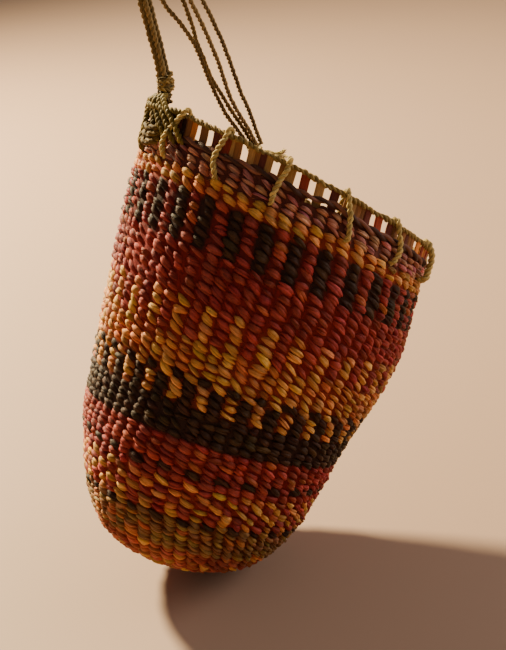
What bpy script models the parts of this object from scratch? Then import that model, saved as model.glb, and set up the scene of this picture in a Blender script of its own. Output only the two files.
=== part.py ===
# A twined dilly bag of dyed plant fibre, hanging by its string handle.
# World axes: +Z up, the origin is the point that the handle's strings hang from. Lengths in metres.
import bpy
import bmesh
import math
from mathutils import Matrix, Vector

# Driving sizes of the bag
RIM_RADIUS = 0.0750          # outer radius at the top row of the weave
LENGTH = 0.1920              # from the rim line to the lowest point, along the middle line
WALL = 0.0034                # from the crest of a rib to the inner face
RIB = 0.0009                 # how far a crest stands above the groove beside it
RIB_FADE = 0.0300            # radius below which the ribs die away
RIBS = 64                    # one rib for each warp
POINTS_ROUND = 2 * RIBS      # a crest and a groove for each rib
RIB_TURN = math.radians(1.4) # angle of the first crest

# How the bag hangs
RIM_CENTRE = Vector((0.0635, 0.0216, -0.1731))
LEAN = math.radians(26.7)            # the bag's own axis off the vertical
LEAN_TOWARD = math.radians(37.1)     # the way its mouth leans, from +X towards +Y
SPIN = math.radians(-5.35)           # its turn about its own axis
SKEW_ACROSS = 0.193                  # the mouth is cut oblique to the axis, fading to nothing below
SKEW_AWAY = 0.063

# Outline of the weave: depth below the rim line, outer radius, sideways drift of the middle line
OUTLINE = (
    (0.0000, RIM_RADIUS, 0.0000),
    (0.0230, 0.0757, 0.0003),
    (0.0480, 0.0754, 0.0004),
    (0.0765, 0.0720, -0.0013),
    (0.1050, 0.0672, -0.0032),
    (0.1180, 0.0658, -0.0043),
    (0.1300, 0.0638, -0.0051),
    (0.1530, 0.0565, -0.0051),
    (0.1720, 0.0462, -0.0049),
    (0.1845, 0.0315, -0.0053),
    (LENGTH, 0.0000, -0.0057),
)

# Handmade unevenness of the wall: waves round the bag, waves down it, height, phase
LUMPS = (
    (2, 1.1, 0.0007, 0.6),
    (3, 2.3, 0.0005, 2.9),
    (5, 1.7, 0.0004, 4.4),
)
LUMP_FADE = 4                # the waves die away over this part of the length, one quarter, above the base

# The wall is drawn in beside the left binding, from the rim down to this depth
PINCH = 0.0020
PINCH_DEPTH = 0.0500
PINCH_ANGLE = math.radians(-177.0)
PINCH_SPREAD = math.radians(24.0)

# Rings of points down the wall, as shares of the outline's length from the rim to the lowest point
OUTER_RINGS = 15
INNER_RINGS = 10
FULL_SHARE = 0.80            # where the outer rings drop to half as many points
BASE_RINGS = ((0.86, RIBS), (0.92, RIBS), (0.965, RIBS // 2), (0.988, RIBS // 4))   # share, points
INNER_SHARE = 0.97           # where the inner face closes
INNER_CROWDING = 1.3         # the inner rings crowd toward the base
OUTLINE_STEPS = 12           # finer points between two rows of the outline
OUTLINE_POINTS = 400         # even steps along the smooth outline
CURVE_STEPS = 8              # finer points between two points of any other smooth line

# Openwork course above the weave
STRIP_HEIGHT = 0.0063
STRIP_SET_BACK = 0.0008      # the flat strips are thinner than the woven wall, on both faces
RIM_DIP = 0.0034             # the strips are squashed where the left binding's legs cross the rim
RIM_DIP_SPREAD = math.radians(13.0)
STRIP_START = 83             # segment round the rim where the runs of strips begin
STRIP_RUNS = (1, 4, 3, 2, 1, 1, 1, 4, 1, 2, 3)   # strips between one window and the next
STRIP_SPAN = 113             # segments round the rim that have windows; there are none at the left binding

# Cord along the top of the strips
RIM_CORD_RADIUS = 0.0010
RIM_CORD_SET_BACK = 0.0016
RIM_CORD_STEPS = 72
RIM_CORD_SIDES = 6
GAP = 0.0003
RIM_CORD_DEPTH = -(STRIP_HEIGHT + GAP + RIM_CORD_RADIUS)

# Two-ply lashings from the cord down over the top band
# Degrees round the rim of each lashing: where it crosses the cord, then at each of LASHING_DEPTHS
LASHINGS = (
    (-133.8, -136.0, -138.8, -140.4, -139.6),
    (-113.8, -114.5, -115.6, -116.2, -114.8),
    (-91.3, -91.6, -92.6, -93.4, -93.8),
    (-69.0, -67.8, -66.6, -66.0, -65.3),
    (-45.5, -44.6, -43.3, -42.9, -44.2),
    (-18.4, -18.2, -18.0, -18.2, -18.9),
    (8.3, 7.9, 7.3, 6.6, 6.2),
    (31.9, 32.2, 32.6, 33.1, 33.0),
    (59.2, 58.6, 58.0, 57.5, 57.8),
    (81.6, 81.8, 82.0, 82.4, 83.1),
    (127.0, 126.5, 126.0, 125.3, 125.1),
    (151.1, 151.5, 152.0, 152.6, 152.2),
)
LASHING_HALF_WIDTH = 0.00135
LASHING_HALF_THICK = 0.00085
LASHING_END = 0.0090         # depth of the lower end
LASHING_PITCH = 0.0070       # length of one full twist
LASHING_STEP = 0.0012
LASHING_STAND = 0.0018       # middle of the lashing off the weave
LASHING_TIGHT = 0.55         # its section is this much smaller where it is pulled tight over the cord
LASHING_TIGHT_STEPS = 6      # number of its first points that are tight
LASHING_SLACK = 0.0002
LASHING_TURNS = (200, 165, 130, 90, 50, 15)          # degrees round the cord, from inside to outside
LASHING_DEPTHS = (-0.0035, 0.0, 0.0045, LASHING_END)

# Handle: four strings over a hook, from the binding on the left of the rim to the one at the far side
STRING_RADIUS = 0.0012
STRING_STEP = 0.0080
HOOK_BEND = 0.0082           # radius of the strings' middle line over the hook
HOOK_WAY = Vector((0.463, 0.886, 0.0))       # level direction from the left leg to the right leg
HOOK_SIDE = Vector((0.886, -0.463, 0.0))     # level direction along the hook
HOOK_PITCH = 0.0030          # spacing of the strings along the hook
HOOK_TURNS = (180, 135, 90, 45, 0)           # degrees round the bend, from the left leg to the right

# Left leg of the handle, two by two at the neck and side by side at the hook: x, y, z of its middle,
# then how far each pair is off the middle, each string off its pair, and each string to the fore or the back
LEFT_LEG = (
    (0.0123, 0.0064, -0.1060, 0.00138, 0.00000, 0.00138),
    (0.0116, 0.0059, -0.0986, 0.00138, 0.00005, 0.00138),
    (0.0098, 0.0037, -0.0851, 0.00140, 0.00010, 0.00138),
    (0.0080, 0.0012, -0.0711, 0.00142, 0.00015, 0.00138),
    (0.0061, -0.0012, -0.0535, 0.00165, 0.00030, 0.00136),
    (0.0040, -0.0041, -0.0324, 0.00215, 0.00080, 0.00122),
    (0.0000, -0.0066, -0.0160, 0.00275, 0.00130, 0.00062),
)

# Right leg: y, z, and x of each of the four strings
RIGHT_LEG = (
    (0.0107, -0.0160, -0.0003, 0.0027, 0.0054, 0.0081),
    (0.0228, -0.0351, 0.0026, 0.0092, 0.0124, 0.0155),
    (0.0357, -0.0589, 0.0070, 0.0164, 0.0205, 0.0246),
    (0.0468, -0.0794, 0.0146, 0.0231, 0.0272, 0.0320),
    (0.0508, -0.0869, 0.0189, 0.0249, 0.0297, 0.0348),
    (0.0549, -0.0945, 0.0231, 0.0265, 0.0321, 0.0372),
    (0.0601, -0.1040, 0.0272, 0.0277, 0.0348, 0.0402),
    (0.0654, -0.1137, 0.0296, 0.0304, 0.0374, 0.0426),
    (0.0709, -0.1236, 0.0319, 0.0327, 0.0392, 0.0448),
    (0.0765, -0.1339, 0.0350, 0.0371, 0.0414, 0.0471),
    (0.0823, -0.1446, 0.0387, 0.0416, 0.0452, 0.0505),
    (0.0882, -0.1556, 0.0442, 0.0468, 0.0497, 0.0530),
    (0.0940, -0.1662, 0.0489, 0.0511, 0.0533, 0.0555),
)
# Each right string to the fore or the back at each row, where they lie in a zigzag
RIGHT_STAGGER = (0.0004, 0.0010, 0.0014, 0.0014, 0.0014, 0.0014, 0.0014,
                 0.0014, 0.0014, 0.0013, 0.0011, 0.0010, 0.0009)
RIGHT_STAGGER_WAY = Vector((0.0, 0.87, 0.50))

# Bindings that tie the handle to the rim: angle round the rim, top of the neck
LEFT_ANGLE = -154.0
LEFT_TOP = Vector((0.0123, 0.0064, -0.1066))
FAR_ANGLE = 102.0
FAR_TOP = Vector((0.0522, 0.0943, -0.1669))
LEFT_LEAD = Vector((-0.06, -0.05, 1.00))     # the way the strings leave each neck
FAR_LEAD = Vector((-0.04, -0.50, 0.87))
NECK_LEAD = 0.0040
NECK_BASE_DEPTH = -0.0094
NECK_RISE = 0.0032
NECK_SIDES = 12
# Radius of each neck from its foot to its top, at even steps
LEFT_NECK = (0.0032, 0.0045, 0.0044, 0.0037, 0.0031, 0.0028, 0.0028, 0.0040, 0.0036, 0.0034, 0.0043, 0.0042)
FAR_NECK = (0.0026, 0.0034, 0.0036, 0.0034, 0.0037, 0.0034, 0.0037, 0.0035, 0.0038, 0.0037, 0.0040, 0.0041)
LEG_RADIUS = 0.0012
LEG_SIDES = 8
TUBE_STEPS = 3               # rings of a swept tube between two points of its line
# Legs of the bindings over the rim: depth, distance off the outline, degrees from the neck
LEFT_LEGS = (
    ((-0.0118, -0.0016, -1.0), (-0.0112, 0.0003, -1.0), (-0.0082, 0.0017, -2.5), (-0.0035, 0.0018, -4.5),
     (0.0020, 0.0018, -7.0), (0.0075, 0.0018, -8.5)),
    ((-0.0118, -0.0016, 1.0), (-0.0112, 0.0003, 1.5), (-0.0082, 0.0017, 2.0), (-0.0035, 0.0018, 3.5),
     (0.0020, 0.0018, 5.0), (0.0075, 0.0018, 4.5)),
    ((-0.0118, -0.0016, 0.0), (-0.0112, 0.0003, 0.0), (-0.0082, 0.0017, -0.2), (-0.0035, 0.0018, -0.4),
     (0.0020, 0.0018, -0.8), (0.0070, 0.0018, -1.2)),
)
FAR_LEGS = (
    ((-0.0118, -0.0016, 0.0), (-0.0114, 0.0003, 2.0), (-0.0080, 0.0018, 3.0), (-0.0030, 0.0021, 3.0),
     (0.0030, 0.0020, 3.2), (0.0085, 0.0020, 3.0)),
    ((-0.0118, -0.0016, 0.0), (-0.0114, 0.0003, -2.0), (-0.0080, 0.0018, -3.0), (-0.0030, 0.0021, -3.0),
     (0.0030, 0.0020, -2.8), (0.0085, 0.0020, -3.0)),
)
# Frayed ends of the far binding: the points of each tuft from the neck to its tip
FRAYED = (
    (Vector((0.0545, 0.0945, -0.1715)), Vector((0.0590, 0.0950, -0.1712)), Vector((0.0640, 0.0955, -0.1722)),
     Vector((0.0695, 0.0955, -0.1700))),
    (Vector((0.0545, 0.0945, -0.1715)), Vector((0.0590, 0.0950, -0.1714)), Vector((0.0640, 0.0955, -0.1728)),
     Vector((0.0708, 0.0950, -0.1748))),
)
FRAYED_RADII = (0.0018, 0.0017, 0.0011, 0.0003)
FRAYED_SIDES = 6

# Colours, roughness
WEAVE = ("woven_fibre", (0.235, 0.062, 0.026), 0.62)
DRIED_STRING = ("olive_string", (0.300, 0.225, 0.080), 0.70)
HANDLE_STRING = ("handle_string", (0.190, 0.125, 0.045), 0.72)


def clear_scene():
    for item in list(bpy.data.objects):
        bpy.data.objects.remove(item, do_unlink=True)


def smooth_point(before, start, end, after, t):
    """A point at share t of the stretch from start to end of a Catmull-Rom curve."""
    result = []
    for a, b, c, d in zip(before, start, end, after):
        result.append(0.5 * (2 * b + (c - a) * t + (2 * a - 5 * b + 4 * c - d) * t * t
                             + (3 * b - a - 3 * c + d) * t ** 3))
    return result


def smooth_curve(points, steps, last=None):
    """Points of a smooth curve through the given ones; last is the mirror point beyond a pole."""
    ring = [tuple(p) for p in points]
    first = tuple(2 * a - b for a, b in zip(ring[0], ring[1]))
    beyond = last or tuple(2 * a - b for a, b in zip(ring[-1], ring[-2]))
    ring = [first] + ring + [beyond]
    curve = []
    for i in range(1, len(ring) - 2):
        for k in range(steps):
            curve.append(smooth_point(ring[i - 1], ring[i], ring[i + 1], ring[i + 2], k / steps))
    curve.append(list(ring[-2]))
    return curve


def resample(points, count):
    """The same line as count + 1 points at even distances."""
    line = [Vector(p) for p in points]
    reach = [0.0]
    for a, b in zip(line, line[1:]):
        reach.append(reach[-1] + (b - a).length)
    result = []
    k = 0
    for i in range(count + 1):
        want = reach[-1] * i / count
        while k < len(line) - 2 and reach[k + 1] < want:
            k += 1
        share = (want - reach[k]) / max(reach[k + 1] - reach[k], 1e-9)
        result.append(line[k].lerp(line[k + 1], min(max(share, 0.0), 1.0)))
    return result


def fine_outline():
    beyond = (OUTLINE[-2][0], -OUTLINE[-2][1], OUTLINE[-2][2])
    return resample(smooth_curve(OUTLINE, OUTLINE_STEPS, beyond), OUTLINE_POINTS)


FINE_OUTLINE = fine_outline()


def outline_at(share):
    """Depth, radius and drift at a share of the outline's length."""
    place_in_list = share * (len(FINE_OUTLINE) - 1)
    k = min(int(place_in_list), len(FINE_OUTLINE) - 2)
    return FINE_OUTLINE[k].lerp(FINE_OUTLINE[k + 1], place_in_list - k)


HANG = (Matrix.Rotation(LEAN, 3, Vector((-math.sin(LEAN_TOWARD), math.cos(LEAN_TOWARD), 0.0)))
        @ Matrix.Rotation(SPIN, 3, "Z"))


def rim_dip(depth, angle):
    """How far a point above the weave is pressed down beside the left binding."""
    if depth >= 0.0:
        return 0.0
    away = math.remainder(angle - PINCH_ANGLE, math.tau) / RIM_DIP_SPREAD
    return RIM_DIP * math.exp(-away * away) * min(1.0, -depth / STRIP_HEIGHT)


def pinch(depth, angle):
    """How far the wall is drawn in beside the left binding."""
    away = math.remainder(angle - PINCH_ANGLE, math.tau) / PINCH_SPREAD
    return PINCH * math.exp(-away * away) * min(1.0, max(0.0, 1.0 - depth / PINCH_DEPTH))


def place(depth, radius, angle, drift=0.0):
    """World place of a point of the bag; angle in radians from +X of the bag, seen from above."""
    lump = -pinch(depth, angle)
    for around, down, height, phase in LUMPS:
        lump += height * math.sin(around * angle + phase + down * math.tau * depth / LENGTH)
    inward = min(1.0, max(0.0, (LENGTH - depth) / LENGTH * LUMP_FADE))
    reach = max(radius + lump * inward * (0.0 if radius <= 0 else 1.0), 0.0)
    x = reach * math.cos(angle)
    y = reach * math.sin(angle)
    fade = (1.0 - depth / LENGTH) ** 2
    down = depth + rim_dip(depth, angle) + fade * (SKEW_ACROSS * x + SKEW_AWAY * y)
    return RIM_CENTRE + HANG @ Vector((x + drift, y, -down))


def rim_place(depth, off, degrees):
    """World place near the rim: off is the distance outside the weave's outline."""
    return place(depth, RIM_RADIUS + off, math.radians(degrees))


def new_object(name, mesh, finish):
    slot, colour, roughness = finish
    material = bpy.data.materials.get(slot) or bpy.data.materials.new(slot)
    material.use_nodes = True
    shader = material.node_tree.nodes["Principled BSDF"]
    shader.inputs["Base Color"].default_value = (*colour, 1.0)
    shader.inputs["Roughness"].default_value = roughness
    shader.inputs["Metallic"].default_value = 0.0
    item = bpy.data.objects.new(name, mesh)
    item.data.materials.append(material)
    bpy.context.scene.collection.objects.link(item)
    return item


def mesh_from(bm, name, sharp_degrees=50):
    mesh = bpy.data.meshes.new(name)
    bm.to_mesh(mesh)
    bm.free()
    mesh.shade_smooth()
    mesh.set_sharp_from_angle(angle=math.radians(sharp_degrees))
    return mesh


def bridge(bm, upper, lower):
    """Faces between two rings of one size, or where the lower has half as many points."""
    count = len(upper)
    if len(lower) == count:
        for i in range(count):
            j = (i + 1) % count
            bm.faces.new((upper[i], lower[i], lower[j], upper[j]))
        return
    for k in range(len(lower)):
        here, middle, ahead = upper[2 * k], upper[2 * k + 1], upper[(2 * k + 2) % count]
        below, below_ahead = lower[k], lower[(k + 1) % len(lower)]
        bm.faces.new((here, below, middle))
        bm.faces.new((middle, below, below_ahead))
        bm.faces.new((middle, below_ahead, ahead))


def ring(bm, share, count, inset, ribbed):
    depth, radius, drift = outline_at(share)
    result = []
    for i in range(count):
        angle = RIB_TURN + math.tau * i / count
        groove = RIB * min(1.0, radius / RIB_FADE) if ribbed and i % 2 else 0.0
        result.append(bm.verts.new(place(depth, radius - inset - groove, angle, drift)))
    return result


def raised(bm, vertex_ring, inset):
    """Points above a rim ring, at the top of the strips."""
    result = []
    for i in range(len(vertex_ring)):
        angle = RIB_TURN + math.tau * i / len(vertex_ring)
        result.append(bm.verts.new(place(-STRIP_HEIGHT, RIM_RADIUS - inset, angle)))
    return result


def strip_flags():
    """True for each segment round the rim that a strip stands on, False for a window."""
    flags = [True] * POINTS_ROUND
    segment = STRIP_START - 1
    k = 0
    while segment < STRIP_START + STRIP_SPAN:
        flags[segment % POINTS_ROUND] = False
        segment += STRIP_RUNS[k % len(STRIP_RUNS)] + 1
        k += 1
    return flags


def add_openwork(bm, outer, inner):
    """The strips that stand on the rim, and the sills of the windows between them."""
    flags = strip_flags()
    top_outer = raised(bm, outer, STRIP_SET_BACK)
    top_inner = raised(bm, inner, WALL - STRIP_SET_BACK)
    count = len(outer)
    for i in range(count):
        j = (i + 1) % count
        if not flags[i]:
            bm.faces.new((outer[i], outer[j], inner[j], inner[i]))
            continue
        bm.faces.new((outer[j], top_outer[j], top_outer[i], outer[i]))
        bm.faces.new((inner[i], top_inner[i], top_inner[j], inner[j]))
        bm.faces.new((top_outer[i], top_outer[j], top_inner[j], top_inner[i]))
        if not flags[i - 1]:
            bm.faces.new((outer[i], top_outer[i], top_inner[i], inner[i]))
        if not flags[j]:
            bm.faces.new((inner[j], top_inner[j], top_outer[j], outer[j]))
    for vertex in top_outer + top_inner:
        if not vertex.link_faces:
            bm.verts.remove(vertex)


def make_bag():
    """The twined body: ribbed outside, smooth inside, open at the mouth, strips along its rim."""
    bm = bmesh.new()
    outer = [ring(bm, FULL_SHARE * i / OUTER_RINGS, POINTS_ROUND, 0.0, True) for i in range(OUTER_RINGS + 1)]
    for share, count in BASE_RINGS:
        outer.append(ring(bm, share, count, 0.0, False))
    for upper, lower in zip(outer, outer[1:]):
        bridge(bm, upper, lower)
    depth, radius, drift = outline_at(1.0)
    pole = bm.verts.new(place(depth, radius, 0.0, drift))
    last = outer[-1]
    for i in range(len(last)):
        bm.faces.new((last[i], pole, last[(i + 1) % len(last)]))

    inner = [ring(bm, 0.0, POINTS_ROUND, WALL, False)]
    for i in range(1, INNER_RINGS + 1):
        share = INNER_SHARE * (1 - (1 - i / INNER_RINGS) ** INNER_CROWDING)
        inner.append(ring(bm, share, RIBS if i < INNER_RINGS - 1 else RIBS // 2, WALL, False))
    for upper, lower in zip(inner, inner[1:]):
        bridge(bm, upper, lower)
    depth, radius, drift = outline_at(INNER_SHARE)
    floor = bm.verts.new(place(LENGTH - WALL, 0.0, 0.0, drift))
    last = inner[-1]
    for i in range(len(last)):
        bm.faces.new((last[i], floor, last[(i + 1) % len(last)]))
    add_openwork(bm, outer[0], inner[0])
    bmesh.ops.recalc_face_normals(bm, faces=bm.faces)
    new_object("bag_weave", mesh_from(bm, "bag_weave"), WEAVE)


def frames_along(path):
    """Tangent, side and up vectors carried along a path without needless turning."""
    tangents = []
    for i in range(len(path)):
        tangents.append((path[min(i + 1, len(path) - 1)] - path[max(i - 1, 0)]).normalized())
    side = tangents[0].orthogonal().normalized()
    result = []
    for tangent in tangents:
        side = (side - tangent * side.dot(tangent)).normalized()
        result.append((tangent, side, tangent.cross(side)))
    return result


def sweep(path, sections, closed=False):
    """A tube: sections holds, for each point of the path, its outline as pairs (side, up)."""
    bm = bmesh.new()
    rings = []
    for point, (_, side, up), section in zip(path, frames_along(path), sections):
        rings.append([bm.verts.new(point + side * a + up * b) for a, b in section])
    pairs = list(zip(rings, rings[1:]))
    if closed:
        pairs.append((rings[-1], rings[0]))
    for here, ahead in pairs:
        bridge(bm, here, ahead)
    if not closed:
        bm.faces.new(reversed(rings[0]))
        bm.faces.new(rings[-1])
    bmesh.ops.recalc_face_normals(bm, faces=bm.faces)
    return bm


def circle(radius, sides):
    return [(radius * math.cos(math.tau * k / sides), radius * math.sin(math.tau * k / sides))
            for k in range(sides)]


def make_rim_cord():
    bm = bmesh.new()
    rings = []
    for i in range(RIM_CORD_STEPS):
        degrees = 360.0 * i / RIM_CORD_STEPS
        rings.append([bm.verts.new(rim_place(RIM_CORD_DEPTH + b, a - RIM_CORD_SET_BACK, degrees))
                      for a, b in circle(RIM_CORD_RADIUS, RIM_CORD_SIDES)])
    for here, ahead in zip(rings, rings[1:] + rings[:1]):
        bridge(bm, here, ahead)
    bmesh.ops.recalc_face_normals(bm, faces=bm.faces)
    new_object("rim_cord", mesh_from(bm, "rim_cord"), DRIED_STRING)


def lashing_path(ways):
    """Up the inside of the rim cord, over it and down over the top band of the weave."""
    bend = RIM_CORD_RADIUS + GAP + LASHING_HALF_WIDTH * LASHING_TIGHT + LASHING_SLACK
    points = []
    for turn in LASHING_TURNS:
        angle = math.radians(turn)
        depth = RIM_CORD_DEPTH - bend * math.sin(angle)
        points.append(rim_place(depth, bend * math.cos(angle) - RIM_CORD_SET_BACK, ways[0]))
    for depth, degrees in zip(LASHING_DEPTHS, ways[1:]):
        points.append(rim_place(depth, LASHING_STAND, degrees))
    return points


def make_lashing(number, ways):
    fine = smooth_curve(lashing_path(ways), CURVE_STEPS)
    length = sum((Vector(b) - Vector(a)).length for a, b in zip(fine, fine[1:]))
    path = resample(fine, round(length / LASHING_STEP))
    sections = []
    for i in range(len(path)):
        turn = math.tau * i * LASHING_STEP / LASHING_PITCH
        size = LASHING_TIGHT if i < LASHING_TIGHT_STEPS else 1.0
        flat = [(1.0, 0.0), (0.5, 1.0), (-0.5, 1.0), (-1.0, 0.0), (-0.5, -1.0), (0.5, -1.0)]
        section = []
        for a, b in flat:
            a, b = a * LASHING_HALF_WIDTH * size, b * LASHING_HALF_THICK * size
            section.append((a * math.cos(turn) - b * math.sin(turn), a * math.sin(turn) + b * math.cos(turn)))
        sections.append(section)
    name = "lashing_%02d" % number
    new_object(name, mesh_from(sweep(path, sections), name), DRIED_STRING)


def tube(path, radii, sides):
    """A swept tube whose radius follows the given values at even steps."""
    steps = TUBE_STEPS * (len(path) - 1)
    fine = resample(smooth_curve(path, CURVE_STEPS), steps)
    sections = []
    for i in range(len(fine)):
        where = i / steps * (len(radii) - 1)
        k = min(int(where), len(radii) - 2)
        sections.append(circle(radii[k] + (radii[k + 1] - radii[k]) * (where - k), sides))
    return sweep(fine, sections)


def neck(degrees, top, lead, radii):
    """The wound neck that gathers the strings, from just above the rim cord to its top."""
    foot = rim_place(NECK_BASE_DEPTH, -RIM_CORD_SET_BACK, degrees)
    rise = rim_place(NECK_BASE_DEPTH - NECK_RISE, -RIM_CORD_SET_BACK, degrees)
    line = smooth_curve([foot, rise, top - lead * NECK_LEAD, top], CURVE_STEPS)
    fine = resample(line, len(radii) - 1)
    return sweep(fine, [circle(radius, NECK_SIDES) for radius in radii])


def fuse(body, extra, name):
    """Joins a further closed mesh to the body, as one solid."""
    guide = bpy.data.objects.new(name, extra)
    guide.hide_render = True
    guide.display_type = "WIRE"
    bpy.context.scene.collection.objects.link(guide)
    union = body.modifiers.new(name, "BOOLEAN")
    union.operation = "UNION"
    union.solver = "EXACT"
    union.object = guide


def make_binding(name, degrees, top, lead, radii, legs, tufts):
    body = new_object(name, mesh_from(neck(degrees, top, lead, radii), name), DRIED_STRING)
    for number, leg in enumerate(legs, 1):
        path = [rim_place(depth, off, degrees + turn) for depth, off, turn in leg]
        solid = mesh_from(tube(path, (LEG_RADIUS, LEG_RADIUS), LEG_SIDES), "leg")
        fuse(body, solid, "%s_leg_%d" % (name, number))
    for number, tuft in enumerate(tufts, 1):
        solid = mesh_from(tube(tuft, FRAYED_RADII, FRAYED_SIDES), "tuft")
        fuse(body, solid, "%s_tuft_%d" % (name, number))


def string_route(number):
    """The route of one string, from the top of the left binding over the hook to the far one."""
    across = 2 * number - 3
    pair = 1 if number > 1 else -1
    stagger = 1 if number % 2 else -1
    points = []
    for x, y, z, pair_off, string_off, lean in LEFT_LEG:
        off = HOOK_SIDE * (pair * pair_off + stagger * string_off)
        points.append(Vector((x, y, z)) + off + HOOK_WAY * stagger * lean)
    for turn in HOOK_TURNS:
        angle = math.radians(turn)
        bend = HOOK_WAY * math.cos(angle) * HOOK_BEND
        lift = Vector((0.0, 0.0, STRING_RADIUS - HOOK_BEND + math.sin(angle) * HOOK_BEND))
        points.append(bend + lift + HOOK_SIDE * across * HOOK_PITCH / 2)
    for row, lean in zip(RIGHT_LEG, RIGHT_STAGGER):
        points.append(Vector((row[2 + number], row[0], row[1])) + RIGHT_STAGGER_WAY * stagger * lean)
    return points


def make_string(number):
    fine = smooth_curve(string_route(number), CURVE_STEPS)
    length = sum((Vector(b) - Vector(a)).length for a, b in zip(fine, fine[1:]))
    path = resample(fine, round(length / STRING_STEP))
    curve = bpy.data.curves.new("string_%d" % (number + 1), "CURVE")
    curve.dimensions = "3D"
    curve.bevel_depth = STRING_RADIUS
    curve.bevel_resolution = 2
    curve.use_fill_caps = True
    spline = curve.splines.new("POLY")
    spline.points.add(len(path) - 1)
    for point, where in zip(spline.points, path):
        point.co = (*where, 1.0)
    spline.use_smooth = True
    new_object("handle_string_%d" % (number + 1), curve, HANDLE_STRING)


def build():
    clear_scene()
    make_bag()
    make_rim_cord()
    for number, ways in enumerate(LASHINGS, 1):
        make_lashing(number, ways)
    make_binding("left_binding", LEFT_ANGLE, LEFT_TOP, LEFT_LEAD, LEFT_NECK, LEFT_LEGS, ())
    make_binding("far_binding", FAR_ANGLE, FAR_TOP, FAR_LEAD, FAR_NECK, FAR_LEGS, FRAYED)
    for number in range(4):
        make_string(number)


build()
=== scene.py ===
# The finished look of the hanging dilly bag: every stitch, strip, string and knot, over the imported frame.
# Metres; +Z up; the origin is the point that the handle's strings hang from.
import math
import bpy
import numpy as np
from mathutils import Matrix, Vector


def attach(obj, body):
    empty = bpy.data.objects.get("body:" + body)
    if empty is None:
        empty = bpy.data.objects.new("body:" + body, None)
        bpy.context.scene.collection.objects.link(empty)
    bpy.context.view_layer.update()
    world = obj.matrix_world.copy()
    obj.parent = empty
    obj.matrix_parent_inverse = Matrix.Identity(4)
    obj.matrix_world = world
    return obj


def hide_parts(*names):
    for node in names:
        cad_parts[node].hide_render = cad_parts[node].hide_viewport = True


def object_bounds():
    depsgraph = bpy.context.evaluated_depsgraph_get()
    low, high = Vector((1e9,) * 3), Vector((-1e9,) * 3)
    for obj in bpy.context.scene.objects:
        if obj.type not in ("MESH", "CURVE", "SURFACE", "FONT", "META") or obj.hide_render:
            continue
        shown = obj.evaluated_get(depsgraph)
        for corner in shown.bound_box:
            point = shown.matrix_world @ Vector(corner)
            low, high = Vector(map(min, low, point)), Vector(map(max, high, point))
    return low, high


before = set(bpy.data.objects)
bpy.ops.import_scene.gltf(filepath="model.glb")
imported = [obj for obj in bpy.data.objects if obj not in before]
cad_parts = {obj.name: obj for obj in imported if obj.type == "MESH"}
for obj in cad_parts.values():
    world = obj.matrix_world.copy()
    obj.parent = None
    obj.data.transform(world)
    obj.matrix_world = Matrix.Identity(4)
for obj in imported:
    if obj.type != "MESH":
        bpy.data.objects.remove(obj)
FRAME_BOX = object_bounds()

TAU = math.tau
RNG = np.random.default_rng(20)
MM = 0.001
TENTHS = 10000  # tenths of a millimetre in a metre, the unit of some tables

# Body of the bag, as in the frame
RIM_RADIUS = 0.075
LENGTH = 0.192
WALL = 0.0034
RIM_CENTRE = np.array((0.0635, 0.0216, -0.1731))
LEAN = math.radians(26.7)
LEAN_TOWARD = math.radians(37.1)
SPIN = math.radians(-5.35)
SKEW_ACROSS = 0.193
SKEW_AWAY = 0.063
# Depth below the rim line, outer radius, sideways drift
OUTLINE = (
    (0.0, RIM_RADIUS, 0.0),
    (0.023, 0.0757, 0.0003),
    (0.048, 0.0754, 0.0004),
    (0.0765, 0.072, -0.0013),
    (0.105, 0.0672, -0.0032),
    (0.118, 0.0658, -0.0043),
    (0.13, 0.0638, -0.0051),
    (0.153, 0.0565, -0.0051),
    (0.172, 0.0462, -0.0049),
    (0.1845, 0.0315, -0.0053),
    (LENGTH, 0.0, -0.0057),
)
OUTLINE_STEPS = 400
# Waves round the bag, waves down it, height, phase
LUMPS = (
    (2, 1.1, 0.0007, 0.6),
    (3, 2.3, 0.0005, 2.9),
    (5, 1.7, 0.0004, 4.4),
)
LUMP_FADE = 4
PINCH = 0.002
PINCH_DEPTH = 0.05
PINCH_ANGLE = math.radians(-177.0)
PINCH_SPREAD = math.radians(24.0)
STRIP_HEIGHT = 0.0063
RIM_DIP = 0.0034
RIM_DIP_SPREAD = math.radians(13.0)
POINTS_ROUND = 128
RIB_TURN = 1.4  # degrees
STRIP_START = 83
STRIP_RUNS = (1, 4, 3, 2, 1, 1, 1, 4, 1, 2, 3)
STRIP_SPAN = 113
RIM_CORD_RADIUS = 0.001
RIM_CORD_SET_BACK = 0.0016
RIM_CORD_DEPTH = -0.0076
# Degrees round the rim of each lashing: over the cord, then at each of LASHING_DEPTHS
LASHINGS = (
    (-133.8, -136, -138.8, -140.4, -139.6),
    (-113.8, -114.5, -115.6, -116.2, -114.8),
    (-91.3, -91.6, -92.6, -93.4, -93.8),
    (-69, -67.8, -66.6, -66, -65.3),
    (-45.5, -44.6, -43.3, -42.9, -44.2),
    (-18.4, -18.2, -18, -18.2, -18.9),
    (8.3, 7.9, 7.3, 6.6, 6.2),
    (31.9, 32.2, 32.6, 33.1, 33),
    (59.2, 58.6, 58, 57.5, 57.8),
    (81.6, 81.8, 82, 82.4, 83.1),
    (127, 126.5, 126, 125.3, 125.1),
    (151.1, 151.5, 152, 152.6, 152.2),
)
LASHING_DEPTHS = (-0.0035, 0.0, 0.0045, 0.009)

# Handle strings and bindings, as in the frame
STRING_RADIUS = 0.0012
HOOK_BEND = 0.0082
HOOK_WAY = np.array((0.463, 0.886, 0.0))
HOOK_SIDE = np.array((0.886, -0.463, 0.0))
HOOK_PITCH = 0.003
HOOK_TURNS = (180, 135, 90, 45, 0)
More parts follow.
